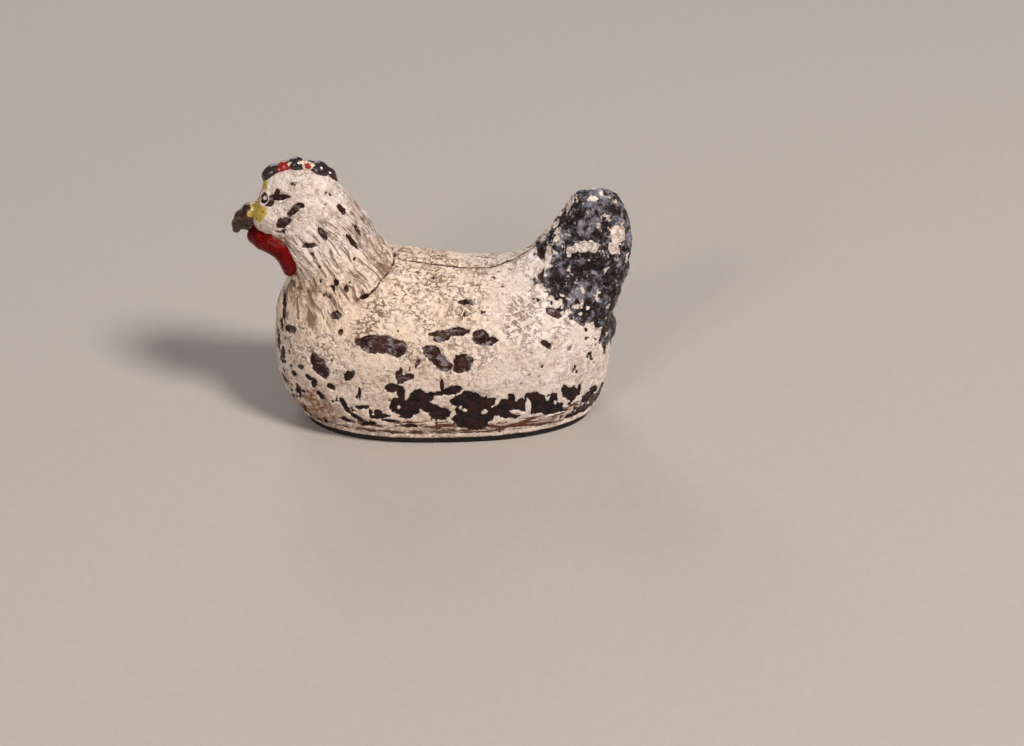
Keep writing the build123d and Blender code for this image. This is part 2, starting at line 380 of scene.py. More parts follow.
# Each row: y, z, half length, half height, and any tilt in degrees, with the rear end up.
BARE_LEFT = [
    # high on the flank
    (-4.9, 7.2, 0.85, 0.5, -5), (-3.9, 7.2, 1, 0.55, -8), (-3.4, 6.9, 0.45, 0.35),
    (-5.5, 7.3, 0.4, 0.2), (0.2, 7.9, 0.85, 0.27, 5), (-0.5, 7.7, 0.5, 0.25, 15),
    (-1, 7.8, 0.3, 0.1), (1.8, 7.7, 0.45, 0.27, -15), (2.1, 7.4, 0.65, 0.25, -5),
    (-1.2, 6.8, 0.55, 0.4, -20), (-0.7, 6.2, 0.75, 0.37, -25), (-0.4, 5.9, 0.5, 0.27),
    (0.7, 6.2, 0.6, 0.37, -10), (0.6, 5.8, 0.5, 0.35), (-2.1, 6.1, 0.12, 0.27, -25),
    (0.8, 9.2, 0.4, 0.12),
    # low on the flank, ahead of the middle
    (-3.2, 5.1, 0.28, 0.35), (-2.8, 5.2, 0.37, 0.18, 20), (-3.1, 5.5, 0.1, 0.25),
    (-3.7, 4.4, 0.43, 0.25, 5), (-3.1, 3.9, 0.25, 0.55), (-3.5, 3.1, 0.37, 0.5),
    (-2.8, 2.9, 0.86, 0.5), (-2.1, 3.5, 0.68, 0.58, 20), (-1.1, 3, 0.43, 0.25, -20),
    (-0.7, 2.7, 0.5, 0.28, -15), (-0.9, 2.3, 0.37, 0.15, -10), (-1.3, 3.8, 0.15, 0.25),
    (-0.7, 4, 0.75, 0.12, 5), (-0.1, 4.3, 0.55, 0.22, 12), (-0.6, 4.6, 0.1, 0.3),
    # the long bare band behind the middle
    (1.1, 3.5, 0.86, 0.5), (0.3, 3.4, 0.37, 0.25), (0.8, 2.7, 0.56, 0.56),
    (1.7, 2.8, 0.7, 0.62), (0.6, 2, 0.5, 0.5), (1.4, 2, 0.8, 0.62),
    (2.1, 2.4, 0.56, 0.43), (2.4, 3.3, 0.43, 0.22, 35), (3.3, 2.7, 0.56, 0.62),
    (3.7, 3.4, 0.3, 0.3), (4.2, 2.8, 0.5, 0.4), (5.1, 3, 0.62, 0.62, 10),
    (6.1, 2.3, 0.8, 0.44, 10), (6.3, 2.9, 0.25, 0.37), (7, 3.3, 0.2, 0.43, 15),
    (7.4, 3, 0.37, 0.44), (7.9, 3.1, 0.1, 0.3, -10), (8.5, 2.3, 0.6, 0.2, 50),
    (2.6, 2.5, 0.5, 0.35), (3.5, 2.3, 0.8, 0.3), (4.5, 2.4, 0.7, 0.25, 5),
    (5.4, 2.5, 0.6, 0.4, 10), (-1.6, 3.1, 0.4, 0.4),
    # breast
    (-10, 7.1, 0.35, 0.28, -10), (-8.2, 5.3, 0.68, 0.4, -60), (-8.6, 4, 0.2, 0.28),
    (-8.9, 4.3, 0.25, 0.12, -45), (-6.3, 5, 0.4, 0.28, 35), (-7.5, 4, 0.22, 0.13, -40),
    (-8.2, 3.3, 0.3, 0.14, -50), (-9.4, 4.9, 0.22, 0.14, -10), (-10.6, 5.1, 0.12, 0.3),
    (-9.9, 4.1, 0.2, 0.12, -40), (-6.7, 2.8, 0.43, 0.14, -55), (-5.6, 2.8, 0.43, 0.13, 3),
    (-4.6, 2.5, 0.25, 0.2), (-4.5, 2.2, 0.56, 0.12, 5), (-6, 2, 0.37, 0.1, -30),
    (-9.3, 3.1, 0.12, 0.12), (-5.7, 3.8, 0.07, 0.37), (-6.8, 7.7, 0.12, 0.18, -30),
    (-10.4, 8.2, 0.1, 0.8),
    # neck, head and the foot of the tail
    (-7, 8.6, 0.27, 0.24, 10), (-5.3, 9.6, 0.22, 0.14, 20), (-7, 10.5, 0.12, 0.18),
    (-6.4, 10.1, 0.1, 0.18), (-6.6, 14.5, 0.36, 0.13, -45), (-7.8, 13.4, 0.36, 0.15, -60),
    (-6, 12.6, 0.55, 0.12, -52), (-8.6, 12.7, 0.36, 0.12, 5), (-5.7, 13.2, 0.3, 0.09, -55),
    (-10.45, 15.5, 0.75, 0.17, 3), (-10.92, 15.1, 0.3, 0.2, 50), (-10.5, 15.75, 0.24, 0.13, 70),
    (-10.1, 14.1, 0.42, 0.24, 20), (-9.5, 14.8, 0.48, 0.2, 40), (-9.1, 15.2, 0.24, 0.15),
    (6.2, 8.5, 0.5, 0.2, -20), (5.7, 6.9, 0.37, 0.2, -35), (-10.9, 5.8, 0.1, 0.6),
    (-10.6, 6.9, 0.1, 0.3),
    # along the rim
    (-3.9, 1.9, 0.5, 0.1, -5), (-5.2, 1.5, 0.4, 0.09, 5), (-6.6, 1.5, 0.3, 0.1, -20),
    (-2.6, 1.5, 0.4, 0.1), (8.3, 1.3, 0.5, 0.2, 30), (8.9, 1.5, 0.5, 0.25, 45),
    (9.4, 2, 0.35, 0.3, 60), (7.6, 1.1, 0.5, 0.12, 20),
]
# The far flank isn't known, so it has wear of the same kind in other places.
BARE_RIGHT = [
    (-3.2, 6.7, 0.9, 0.5, 10), (-2.5, 6.9, 0.5, 0.4), (1.6, 7.3, 0.8, 0.4, -12),
    (2.3, 7, 0.45, 0.35, 20), (-0.2, 6, 0.6, 0.3, 25), (4.2, 6.6, 0.45, 0.25, -30),
    (-5.9, 6.1, 0.35, 0.5, 15), (0.9, 8.8, 0.35, 0.14, 10), (-6.9, 2.9, 0.6, 0.4, -20),
    (-6.1, 2.6, 0.7, 0.45, 5), (-5.3, 3.1, 0.4, 0.55, 10), (-4.4, 2.4, 0.6, 0.3),
    (-2.4, 3.6, 0.5, 0.45, 20), (-1.7, 3.1, 0.8, 0.5), (-0.9, 2.6, 0.6, 0.5, -10),
    (-0.1, 3.2, 0.45, 0.3, 30), (0.8, 2.2, 0.7, 0.35), (2.4, 3, 0.7, 0.6, 15),
    (3.2, 3.6, 0.5, 0.45), (3.8, 2.7, 0.8, 0.4, -5), (5.2, 3.1, 0.5, 0.35, 20),
    (6.2, 2.6, 0.9, 0.45, 15), (6.9, 3.3, 0.35, 0.5), (7.8, 3, 0.2, 0.45, 20),
    (-8.7, 5, 0.4, 0.6, 20), (-9.6, 6.4, 0.3, 0.3), (-7.6, 4.5, 0.3, 0.2, 40),
    (-10.2, 4.4, 0.2, 0.4), (-9, 3.3, 0.4, 0.2, -45), (-7.4, 7.2, 0.2, 0.3),
    (-5.6, 9.2, 0.25, 0.3, 20), (-6.5, 12.9, 0.5, 0.14, -50), (-7.4, 14.1, 0.3, 0.12, -50),
    (-8.2, 12.2, 0.12, 0.4), (-9.4, 14.4, 0.5, 0.25, -20), (-10.3, 15.5, 0.4, 0.15, 10),
    (5.6, 7.9, 0.4, 0.3, 10), (6.6, 6.2, 0.3, 0.2), (8.2, 4.4, 0.3, 0.25),
]
# Paint left standing inside the bare band.
ISLANDS = [
    (4.7, 2.7, 0.17, 0.43), (4.1, 2.3, 0.5, 0.12, -10), (2.7, 1.9, 0.16, 0.25),
    (0.5, 3, 0.09, 0.09), (0.8, 2.75, 0.13, 0.09), (2, 2.6, 0.2, 0.11, 20),
    (-3.3, 3, 0.1, 0.1), (6.4, 2.6, 0.08, 0.12),
]
CREAM_ON_TAIL = [
    (8.2, 12.2, 0.6, 0.3, 10), (7.4, 12, 0.4, 0.2, -10), (10.2, 12.6, 0.4, 0.6),
    (10, 11.9, 0.35, 0.4), (8.7, 15, 0.3, 0.25, 40), (6.6, 12.9, 0.5, 0.15, 50),
    (7.2, 9, 0.4, 0.12, -30), (9.3, 10.6, 0.2, 0.1, 20), (8.9, 13.6, 0.25, 0.1, -20),
    (8, 9.6, 0.12, 0.3),
]
YELLOW = [(-11.65, 14.4, 0.5, 0.55), (-11.6, 15, 0.32, 0.5, -10), (-11.3, 15.9, 0.2, 0.4)]
RUST = [
    (-8.2, 2.4, 0.6, 0.5, -40), (-7.9, 1.6, 0.5, 0.5, 20), (-8.8, 3, 0.5, 0.4, -40),
    (-9.6, 9.6, 0.25, 0.7),
]
SMEARS = [
    (4.1, 1.45, 1.1, 0.27, 8), (2.7, 1.3, 0.6, 0.14), (5.8, 1.6, 0.9, 0.15, 15),
    (-0.8, 1.6, 0.9, 0.18, -5), (-2.7, 1.7, 0.8, 0.14, -5), (-4.8, 1.6, 0.9, 0.12, -5),
    (1, 1.3, 1.2, 0.14), (7.2, 1.8, 0.7, 0.2, 25),
]
EYE = (-11.3, 15.22)  # y and z
# The edge of the black tail: height and the y where the black begins.
TAIL_EDGE_Z = [5.5, 6.8, 7.6, 8.7, 9.3, 10.9, 11.9, 13.2, 15]
TAIL_EDGE_Y = [9.2, 8.7, 7.5, 6.8, 5.9, 5.5, 5.3, 5.9, 6.8]
# How far a patch's edge grows and how ragged it is at most, how it joins others, and its margin.
PATCH_GROWTH, PATCH_RAGGED, PATCH_BLEND, PATCH_MARGIN = 0.03, 0.16, 0.05, 0.3
FAR_OUTSIDE = -9.0


def patch_depth(points, patches, ragged):
    """How far each point is inside the nearest patch, below zero outside."""
    best = np.full(len(points), FAR_OUTSIDE)
    up = points[:, 2] * cos(LOOK_DOWN) - abs(points[:, 0]) * sin(LOOK_DOWN)
    for y, z, half_length, half_height, *tilt in patches:
        seat = nearest(points, y, z)
        rear, rise = points[:, 1] - y, up - up[seat]
        turn = radians(*tilt or [0])
        c, s = cos(turn), sin(turn)
        reach = np.hypot((rear * c + rise * s) / half_length, (rise * c - rear * s) / half_height)
        small, large = min(half_length, half_height), max(half_length, half_height)
        edge = min(PATCH_GROWTH, 0.2 * small) + ragged * min(PATCH_RAGGED, 0.55 * small)
        inside = (1 - reach) * small + edge
        near = 1.5 * large + PATCH_MARGIN - np.linalg.norm(points - points[seat], axis=1)
        best = -smooth_min(-best, -np.minimum(inside, near), PATCH_BLEND)
    return best


def nearest(points, y, z):
    """The number of the point nearest to a place in the side view."""
    return np.argmin((points[:, 1] - y) ** 2 + (points[:, 2] - z) ** 2)


# ---- relief and paint of the shell

# The neck feathers run round an axis that leans forward above its height here.
NECK_AXIS_Y, NECK_AXIS_Z, NECK_LEAN = -6.7, 10.2, 0.45
TAIL_ROOT_Y, TAIL_ROOT_Z = 3.0, 4.5  # the tail plumes fan out from here
FAR_SIDE = 50.0  # takes the right half's feathers well away from the left half's in the noise
STREAK_RELIEF, PLUME_RELIEF = 0.14, 0.08
CREASE_DEPTH, CREASE_WIDTH = 0.12, 0.07
SEAM_DEPTH, SEAM_WIDTH = 0.04, 0.06
GAP_DEPTH, GAP_WIDTH = 0.16, 0.09  # how much deeper and wider the seam is where it gapes
CHIP_DEPTH, LIP_HEIGHT, LIP_OFFSET, LIP_WIDTH = 0.1, 0.025, 0.09, 0.06
# The eye's bead, the groove and the ring round it, their width, and the edge of its paint.
EYE_BEAD, EYE_GROOVE, EYE_RING, EYE_LINE, EYE_EDGE = 0.13, 0.26, 0.46, 0.09, 0.44
RIM_EDGE = 0.3  # no chip reaches lower than about this far above the rim


def neck_streaks(points):
    """Neck feathers as ridges from -1 to 1, how much they show, and a measure across them."""
    x, y, z = points.T
    weight = ramp(0.5, -0.5, neck_field(x, y, z) - body_field(x, y, z))
    # They fade on the crown and on the cheek.
    weight *= 1 - 0.75 * ramp(13.2, 14.6, z)
    weight *= 1 - 0.8 * ramp(12.3, 13.5, z) * ramp(-7.4, -8.8, y)
    behind_axis = y - NECK_AXIS_Y + NECK_LEAN * np.maximum(z - NECK_AXIS_Z, 0)
    round_neck = np.arctan2(abs(x), -behind_axis)
    across = round_neck + 0.14 * (z - 12) * np.sin(round_neck)
    across = across + 0.12 * fractal(points, 1.6, 41, 2)
    side = np.where(x < 0, FAR_SIDE, 0)
    broad = lattice_noise(np.stack([across * 5.5, z * 0.55, side], 1), 42)
    fine = lattice_noise(np.stack([across * 12, z * 1.1, side], 1), 43)
    return 0.6 * broad + 0.4 * fine, weight, across * 3 + side


def tail_plumes(points):
    """Tail feathers as fanned ridges from -1 to 1, and how much they show."""
    x, y, z = points.T
    weight = ramp(0.3, -0.5, tail_field(x, y, z) - body_field(x, y, z))
    up, back = z - TAIL_ROOT_Z, y - TAIL_ROOT_Y
    fan = np.arctan2(up, back) + 0.03 * fractal(points, 1.2, 51, 2)
    ridges = np.stack([fan * 15, np.hypot(up, back) * 0.35, x * 0.3], 1)
    return lattice_noise(ridges, 52), weight


def tail_zones(points, ragged):
    """How far each point is inside the black paint, and inside the cream showing through."""
    x, y, z = points.T
    behind_edge = y - natural_spline(TAIL_EDGE_Z, TAIL_EDGE_Y)(z)
    black = np.minimum(0.8 * behind_edge, z - 5.2 - 0.5 * ramp(9.5, 8, y))
    black += 0.6 * fractal(points, 1.1, 31, 3) + 0.25 * ragged
    leaning = np.stack([x, 0.8 * y - 0.6 * z, 0.45 * (0.6 * y + 0.8 * z)], 1)
    front = ramp(1.2, 0, behind_edge) * ramp(10.5, 12, z)
    flecks = [
        fractal(leaning, 0.4, 33, 4) - 0.5,
        # More of them along the front edge, and just inside the edge all round.
        fractal(points, 0.4, 34, 3) - 0.5 + 0.5 * front,
        fractal(points, 0.6, 36, 3) + 0.45 * ramp(1.3, 0.2, black) - 0.68,
    ]
    cream = patch_depth(points, CREAM_ON_TAIL, 3.4 * ragged) - 0.06
    return black, np.maximum(cream, 0.3 * np.max(flecks, axis=0))


def chip_depth(points, left, ragged, black):
    """How far each point is inside bare metal."""
    _, y, z = points.T
    bare = patch_depth(points, BARE_LEFT if left else BARE_RIGHT, 1.6 * ragged)
    if left:
        bare = np.minimum(bare, -patch_depth(points, ISLANDS, ragged))
    # Specks and streaks, more of them low down and on the breast, and beside the black tail.
    worn = 0.3 * ramp(7.5, 2, z) + 0.45 * ramp(-5, -9.5, y) * ramp(8, 4.5, z)
    beside = ramp(-1.5, -0.1, black) * ramp(0.3, 0, black)
    specks = 0.3 * (fractal(points, 0.42, 21, 2) - 0.7 + 0.3 * worn)
    streaks = 0.25 * (fractal(points * (1, 0.6, 1.4), 0.7, 23, 3) - 0.75 + 0.55 * worn)
    edge_chips = 0.3 * (fractal(points, 0.6, 35, 3) + 0.5 * beside - 0.72)
    return np.max([bare, specks, streaks, edge_chips], axis=0)


def crease_line(points):
    """The crease where the neck feathers end, from 0 to 1. It fades low on the shoulder."""
    x, y, z = points.T
    gap = neck_field(x, y, z) - body_field(x, y, z) + 0.12 * fractal(points, 0.7, 65, 3)
    shows = ramp(8.8, 9.8, z) * ramp(-7.2, -6.2, y)
    return hump(gap, CREASE_WIDTH) * shows * ramp(-1, -0.1, fractal(points, 0.9, 66, 2))


def seam_line(points):
    """The seam between the halves, where it gapes, and where it shows at both ends."""
    x, y, z = points.T
    gapes = ramp(-4, -2.5, y) * ramp(5.8, 4.5, y) * ramp(8, 9, z)
    ends = 0.5 * ramp(8, 9.5, y) + 0.4 * ramp(-9, -10.2, y) * ramp(12, 10, z)
    return hump(x, SEAM_WIDTH + GAP_WIDTH * gapes), gapes, ends


def shade_and_stains(points, grooves, crease, gapes):
    """Brown painted shade in the neck grooves, along the crease and the open seam, and brown
    painted shade with dirt low down and on the low breast.
    """
    x, y, z = points.T
    # Painted shade in the neck grooves and along the crease.
    shade_and_stain = 0.7 * grooves + 0.5 * crease
    # Painted shade inside the open seam.
    shade_and_stain += 0.5 * gapes * hump(abs(x) - 0.2, 0.25) * ramp(0.5, 2.5, y)
    # Darker towards the bottom: painted shade with dirt.
    low = ramp(2.6, 1.2, z) * ramp(0.1, 0.6, fractal(points * (1, 0.35, 2.2), 0.7, 81, 3))
    # Darker on the low breast: painted shade with dirt.
    breast = ramp(-5, -8.5, y) * ramp(5, 2.5, z) * ramp(-0.35, 0.35, fractal(points, 0.8, 82, 3))
    return np.clip(np.max([shade_and_stain, low, breast], axis=0), 0, 1)


def skin_detail(points, left):
    """Height above the smooth form, and the values that the paint reads."""
    _, y, z = points.T
    rim = z - RIM_Z
    ragged = 0.6 * fractal(points, 0.55, 11, 3) + 0.4 * fractal(points, 0.22, 12, 2)
    black, cream = tail_zones(points, ragged)
    streak, on_neck, across_neck = neck_streaks(points)
    plume, on_tail = tail_plumes(points)
    crease = crease_line(points)
    seam, gapes, ends = seam_line(points)
    from_eye = np.linalg.norm(points - points[nearest(points, *EYE)], axis=1)

    bare = chip_depth(points, left, ragged, black)
    pupil = 0.1 - abs(from_eye - 0.25) - 0.25 * (y - EYE[0])
    bare = np.where(from_eye < EYE_EDGE, pupil, bare)
    bare = np.where(rim < RIM_EDGE, np.minimum(bare, (rim - 0.22) * 0.5), bare)

    # Uneven ground, feathers and the rough tail.
    height = 0.06 * fractal(points, 2, 61, 2) + 0.036 * fractal(points, 0.55, 62, 3)
    height += 0.03 * fractal(points * (1, 1.5, 0.8), 0.34, 67, 2)
    rough = 0.14 * fractal(points, 0.7, 63, 3) + 0.06 * fractal(points, 0.24, 64, 2)
    height += rough * ramp(-0.2, 0.4, black)
    height += STREAK_RELIEF * on_neck * streak + PLUME_RELIEF * on_tail * plume
    # Crease, seam, eye, and the rolled lip along the rim.
    height -= CREASE_DEPTH * crease + (SEAM_DEPTH + GAP_DEPTH * gapes) * seam
    height += 0.1 * hump(from_eye - EYE_RING, EYE_LINE) + 0.06 * hump(from_eye, EYE_BEAD)
    height -= 0.07 * hump(from_eye - EYE_GROOVE, EYE_LINE)
    height += 0.05 * hump(rim - 0.12, 0.1) - 0.03 * hump(rim - 0.4, 0.15)
    # Paint stands proud of bare metal, with a rounded lip where it ends.
    height -= CHIP_DEPTH * ramp(-0.03, 0.06, bare) * (1 - 0.5 * ramp(0, 0.4, black))
    height += LIP_HEIGHT * hump(bare + LIP_OFFSET, LIP_WIDTH)
    height += 0.06 * ramp(0, 0.3, bare) * fractal(points, 0.5, 71, 2)

    upper = 0.5 + 0.5 * ramp(6, 8, z)
    values = {
        "bare": bare,
        "black": black,
        "cream": cream,
        "yellow": np.minimum(patch_depth(points, YELLOW, ragged), from_eye - 0.56),
        "rust": patch_depth(points, RUST, ragged),
        "smear": np.maximum(
            patch_depth(points, SMEARS, ragged), 0.1 - abs(rim - 0.5) - 0.2 * ragged),
        # Painted light on bare metal: 0 low down for painted shade, 1 on the upper flank for the
        # lit copy, half again above the shoulder.
        "painted_light": ramp(4.4, 5.6, z) * (1 - 0.5 * ramp(8.6, 9.6, z)),
        "crackle": (0.5 + 0.5 * ramp(4.5, 8, z)) * (1 - 0.35 * ramp(2.5, 6, y)),
        # Painted shade in grooves, crease and open seam, and painted shade with dirt low down.
        "shade_and_stain": shade_and_stains(points, on_neck * ramp(-0.1, -0.5, streak), crease, gapes),
        "warm": ramp(5.5, -1, y) * ramp(13, 10, z) * upper,
        "line": np.maximum(crease, seam * (0.25 + 0.9 * gapes + ends)) + 0.2 * ragged,
        "neck": on_neck,
        "plume": on_tail * plume,
        "crown": ramp(12.8, 14, z) * ramp(-4, -6, y),
        "across": across_neck,
    }
    return height, values


def make_skin(name, surface, lining, left, material):
    """One half of the shell: a detailed outside, a plain inside, and flat edges between them."""
    points, quads = surface
    to_side = (1, 1, 1) if left else (-1, 1, 1)
    normals = field_slopes(hen_field, points)
    normals[points[:, 0] < NEAR_ZERO, 0] = 0
    normals[points[:, 2] < RIM_Z + NEAR_ZERO, 2] = 0
    height, values = skin_detail(points * to_side, left)
    outside = points + unit(normals) * height[:, None]
    inside, inner_quads = lining
    faces = [list(q) for q in quads]
    faces += [list(q[::-1] + len(points)) for q in inner_quads]
    faces += bridge(outside, quads, inside, inner_quads)
    if not left:
        faces = [f[::-1] for f in faces]
    extra = {key: np.concatenate([v, np.full(len(inside), -1)]) for key, v in values.items()}
    return make_object(name, np.concatenate([outside, inside]) * to_side, faces, material, extra)


def bridge(outside, quads, inside, inner_quads):
    """Flat faces that join the open edges of the outside and the lining."""
    outer = corner_first(boundary_loop(quads), outside)
    inner = corner_first(boundary_loop(inner_quads), inside)
    faces = []
    for a, b in zip(outer, inner):
        ta, tb = run_share(outside[a]), run_share(inside[b])
        i = j = 0
        while i < len(a) - 1 or j < len(b) - 1:
            if j == len(b) - 1 or (i < len(a) - 1 and ta[i + 1] <= tb[j + 1]):
                faces.append([a[i + 1], a[i], b[j] + len(outside)])
                i += 1
            else:
                faces.append([a[i], b[j] + len(outside), b[j + 1] + len(outside)])
                j += 1
    return faces


def corner_first(loop, points):
    """An open edge as its run along the rim and its run along the seam, which share end points."""
    on_rim = points[loop][:, 2] < RIM_Z + 1e-3
    start = next(i for i in range(len(loop)) if on_rim[i] and not on_rim[i - 1])
    loop = loop[start:] + loop[:start]
    end = int(np.argmin(np.roll(on_rim, -start))) - 1
    return [np.array(loop[:end + 1]), np.array(loop[end:] + loop[:1])]


def run_share(points):
    """How far along a run each point is, from 0 to 1."""
    length = np.concatenate([[0], np.cumsum(np.linalg.norm(np.diff(points, axis=0), axis=1))])
    return length / length[-1]


# ---- the small pieces

def chain(x, y, z, beads, blend):
    """A field for a smooth run of beads, each x, y, z and radius."""
    best = None
    for a, b in zip(beads[:-1], beads[1:]):
        run = np.subtract(b[:3], a[:3])
        off = x - a[0], y - a[1], z - a[2]
        t = np.clip(sum(off[i] * run[i] for i in range(3)) / (run @ run), 0, 1)
        gap = sum((off[i] - t * run[i]) ** 2 for i in range(3))
        d = np.sqrt(gap) - (a[3] + (b[3] - a[3]) * t)
        best = d if best is None else smooth_min(best, d, blend)
    return best


# Runs of beads: x, y, z, radius.
COMB_RIDGE = [
    (0, -11.15, 16.0, 0.3), (0, -10.7, 16.45, 0.34), (0, -10.05, 16.8, 0.36),
    (0, -9.35, 17.0, 0.38), (0, -8.65, 16.86, 0.34), (0, -8.0, 16.7, 0.4), (0, -7.4, 16.3, 0.36),
    (0, -7.15, 15.9, 0.25),
]
UPPER_BEAK = [
    (0, -11.6, 13.8, 0.76), (0, -12.3, 13.65, 0.68), (0, -12.85, 13.35, 0.52),
    (0, -13.15, 12.95, 0.38), (0, -13.28, 12.6, 0.26),
]
LOWER_BEAK = [
    (0, -11.6, 13.1, 0.62), (0, -12.3, 12.95, 0.46), (0, -12.8, 12.85, 0.26),
]
WATTLE_PATH = [
    (0, -12.1, 12.5, 0.42), (0.7, -12.0, 12.5, 0.52), (1.15, -11.5, 12.5, 0.66),
    (1.45, -10.95, 12.45, 0.7), (1.65, -10.45, 12.2, 0.66), (1.75, -10.12, 11.75, 0.6),
    (1.75, -9.95, 11.2, 0.54), (1.65, -9.95, 10.65, 0.46),
]
WATTLE_THINNING = 0.03
# The comb's knobs: y, z, half length, half height, tilt in degrees with the rear end up.
COMB_KNOBS = [
    (-10.88, 16.42, 0.72, 0.48, 35), (-9.37, 16.98, 0.47, 0.44, 0), (-8.0, 16.58, 0.62, 0.54, -20),
]
KNOB_EXTRA_WIDTH = 0.06  # a knob is this much wider than high, each side
NOSTRIL = (0.5, -12.15, 14.25)


def knob_reach(x, y, z, knob):
    """How far a point is from a comb knob's middle, in the knob's half sizes."""
    middle_y, middle_z, length, height, tilt = knob
    c, s = cos(radians(tilt)), sin(radians(tilt))
    along = ((y - middle_y) * c + (z - middle_z) * s) / length
    across = ((z - middle_z) * c - (y - middle_y) * s) / height
    return np.sqrt((x / (height + KNOB_EXTRA_WIDTH)) ** 2 + along ** 2 + across ** 2)


def comb_field(x, y, z):
    """Three worn knobs on a ridge over the crown."""
    d = chain(x / 1.05, y, z, COMB_RIDGE, 0.2)
    for knob in COMB_KNOBS:
        d = smooth_min(d, (knob_reach(x, y, z, knob) - 1) * knob[3], 0.1)
    return d


def beak_field(x, y, z):
    """A hooked upper half over a shorter lower half."""
    upper = chain(x / 0.9, y, z, UPPER_BEAK, 0.12)
    return smooth_min(upper, chain(x, y, z, LOWER_BEAK, 0.1), 0.06)


def wattle_field(x, y, z):
    """A soft band that runs from under the beak down both sides of the throat."""
    return chain(np.sqrt(x * x + 0.01), y, z, WATTLE_PATH, 0.3) + WATTLE_THINNING


def solder_field(x, y, z):
    """A lump of solder that closes the seam under the tail."""
    d = ball(x, y, z, (0, 9.85, 5.7), (0.55, 0.42, 0.9))
    return smooth_min(d, ball(x, y, z, (0.1, 9.6, 4.75), (0.45, 0.4, 0.6)), 0.2)


def comb_detail(p):
    """Enamel: red spots between the black knobs, and cream between and below them."""
    y, z = p[:, 1], p[:, 2]
    ragged = fractal(p, 0.4, 101, 3)
    red = 0.38 - np.hypot(y + 10.12, (z - 16.85) * 1.1)
    red = np.maximum(red, 0.2 - np.hypot(y + 8.66, (z - 17.02) * 1.2))
    off_knobs = [0.5 * (knob_reach(0, y, z, knob) - 0.88) for knob in COMB_KNOBS]
    below_top = 17.34 - 0.3 * (y + 9.15) ** 2 - z
    cream = np.minimum(np.min(off_knobs, axis=0), below_top) + 0.06 * ragged
    height = 0.012 * ragged + 0.02 * ramp(0, 0.06, red + 0.05 * ragged)
    return height, {"red": red + 0.07 * ragged, "cream": cream}


def beak_detail(p):
    """The line of the mouth, a nostril on each side, and the edge of the yellow root."""
    x, y, z = p.T
    line = z - (12.98 - 0.25 * (y + 12.4) ** 2)
    mouth = hump(line, 0.06) * ramp(-13.2, -12.9, y)
    nostril = hump(np.linalg.norm(np.stack([abs(x), y, z], 1) - NOSTRIL, axis=1), 0.14)
    height = 0.03 * fractal(p, 0.6, 111, 3) - 0.07 * mouth + 0.05 * nostril
    root = np.minimum(y + 12.3 + 0.4 * (14.3 - z), z - 13.75) + 0.15 * fractal(p, 0.4, 112, 2)
    return height, {"mouth": mouth, "pale": nostril, "root": root}


def wattle_detail(p):
    rise = fractal(p, 0.5, 121, 3)
    # How far the relief dips, which the wattle's paint darkens as painted shade.
    return 0.015 * rise, {"low": -rise}


def solder_detail(p):
    rise = fractal(p, 0.7, 131, 3)
    return 0.08 * rise, {"low": -rise}


def make_blob(name, field, low, high, step, detail, material):
    """A closed piece from a field, with the relief and the material's values from detail."""
    points, quads, _ = surface_net(field, low, high, step)
    free = np.zeros(len(points), bool)
    points = relax(points, quads, field, free, free)
    height, values = detail(points)
    points = points + unit(field_slopes(field, points)) * height[:, None]
    return make_object(name, points, quads, material, values)


# ---- materials

MIX_A, MIX_B, MIX_RESULT = 6, 7, 2  # a mix node's sockets for colours


